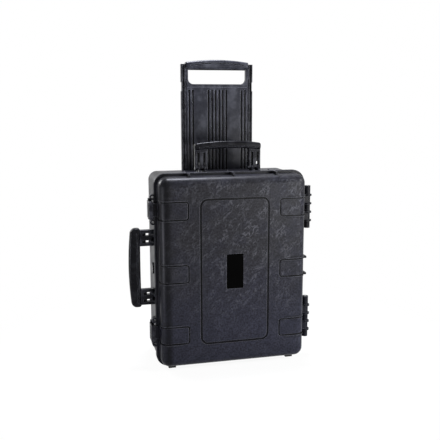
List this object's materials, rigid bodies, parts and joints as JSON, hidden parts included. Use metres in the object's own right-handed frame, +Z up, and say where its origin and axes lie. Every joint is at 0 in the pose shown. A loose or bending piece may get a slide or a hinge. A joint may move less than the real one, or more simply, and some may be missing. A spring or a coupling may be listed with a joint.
{
  "type": "wheeled waterproof hard case",
  "caption": "Upright waterproof hard case on wheels with a hinged lid, draw latches, padlock eyes, folding carry handles, a purge valve and a flat pull-out trolley handle.",
  "frame": {"origin": "on the floor, under the middle of the base's standing foot, in the middle of the case's width and depth", "axes": "+Z up along the case and the trolley handle, +X to the hinge side, +Y from the lid to the back"},
  "size_m": [0.546, 0.2302, 0.893],
  "materials": {
    "shell_plastic": "moulded black polypropylene, fine pebbled grain",
    "fitting_plastic": "moulded black nylon, satin",
    "grip_plastic": "moulded black plastic, satin",
    "trolley_plastic": "moulded black plastic, satin",
    "plate_plastic": "smooth black plate, left blank",
    "seal_rubber": "soft black rubber",
    "foot_rubber": "hard black rubber",
    "tyre_rubber": "hard wheel rubber",
    "pin_steel": "plain steel",
    "screw_steel": "blackened steel"
  },
  "bodies": {
    "base": {"base_shell": "shell_plastic", "trolley_cover": "shell_plastic", "cover_screws": "screw_steel", "hinge_pins": "pin_steel", "latch_pins": "pin_steel", "side_handle_pins": "pin_steel", "top_handle_pins": "pin_steel", "wheel_housing_left": "fitting_plastic", "wheel_housing_right": "fitting_plastic", "housing_screws": "screw_steel", "wheel_axles": "pin_steel", "valve_body": "fitting_plastic", "valve_ring": "seal_rubber", "base_feet": "foot_rubber"},
    "lid": {"lid_shell": "shell_plastic", "lid_seal": "seal_rubber", "name_plate": "plate_plastic", "lid_feet": "foot_rubber"},
    "latch_lower": {"latch_lower": "fitting_plastic"},
    "latch_upper": {"latch_upper": "fitting_plastic"},
    "side_handle": {"side_handle_frame": "fitting_plastic", "side_handle_grip": "grip_plastic"},
    "top_handle": {"top_handle_frame": "fitting_plastic", "top_handle_grip": "grip_plastic"},
    "trolley": {"trolley_panel": "trolley_plastic", "trolley_rails": "trolley_plastic", "trolley_grip": "grip_plastic", "trolley_screws": "screw_steel"},
    "release": {"release_bar": "fitting_plastic", "release_rods": "pin_steel"},
    "lock_bolt_left": {"lock_bolt_left": "pin_steel"},
    "lock_bolt_right": {"lock_bolt_right": "pin_steel"},
    "wheel_left": {"tyre_left": "tyre_rubber", "hub_left": "fitting_plastic"},
    "wheel_right": {"tyre_right": "tyre_rubber", "hub_right": "fitting_plastic"},
    "valve_knob": {"valve_knob": "fitting_plastic"}
  },
  "joints": [
    {"name": "lid_hinge", "type": "hinge", "parent": "base", "child": "lid", "pos_m": [0.238, -0.0575, 0.289], "axis": [0, 0, 1], "range_deg": [0, 110]},
    {"name": "latch_lower_swing", "type": "hinge", "parent": "base", "child": "latch_lower", "pos_m": [-0.232, -0.0405, 0.109], "axis": [0, 0, -1], "range_deg": [0, 95]},
    {"name": "latch_upper_swing", "type": "hinge", "parent": "base", "child": "latch_upper", "pos_m": [-0.232, -0.0405, 0.469], "axis": [0, 0, -1], "range_deg": [0, 95]},
    {"name": "side_handle_fold", "type": "hinge", "parent": "base", "child": "side_handle", "pos_m": [-0.228, -0.0275, 0.295], "axis": [0, 0, -1], "range_deg": [0, 90]},
    {"name": "top_handle_fold", "type": "hinge", "parent": "base", "child": "top_handle", "pos_m": [0, -0.0275, 0.58], "axis": [-1, 0, 0], "range_deg": [0, 90]},
    {"name": "trolley_slide", "type": "slide", "parent": "base", "child": "trolley", "axis": [0, 0, 1], "range_m": [-0.3, 0]},
    {"name": "release_press", "type": "slide", "parent": "trolley", "child": "release", "axis": [0, 0, 1], "range_m": [0, 0.004], "stiffness_N_per_m": 1500, "springref_m": -0.002},
    {"name": "bolt_left_slide", "type": "slide", "parent": "trolley", "child": "lock_bolt_left", "axis": [1, 0, 0], "range_m": [0, 0.004]},
    {"name": "bolt_right_slide", "type": "slide", "parent": "trolley", "child": "lock_bolt_right", "axis": [-1, 0, 0], "range_m": [0, 0.004]},
    {"name": "wheel_left_spin", "type": "hinge", "parent": "base", "child": "wheel_left", "pos_m": [-0.1899, 0.08, 0.0345], "axis": [1, 0, 0], "continuous": true},
    {"name": "wheel_right_spin", "type": "hinge", "parent": "base", "child": "wheel_right", "pos_m": [0.1899, 0.08, 0.0345], "axis": [1, 0, 0], "continuous": true},
    {"name": "valve_turn", "type": "hinge", "parent": "base", "child": "valve_knob", "pos_m": [-0.222, -0.0175, 0.289], "axis": [-1, 0, 0], "range_deg": [0, 180]}
  ],
  "couplings": [
    {"joint": "bolt_left_slide", "follows": "release_press", "ratio": 1},
    {"joint": "bolt_right_slide", "follows": "release_press", "ratio": 1}
  ]
}
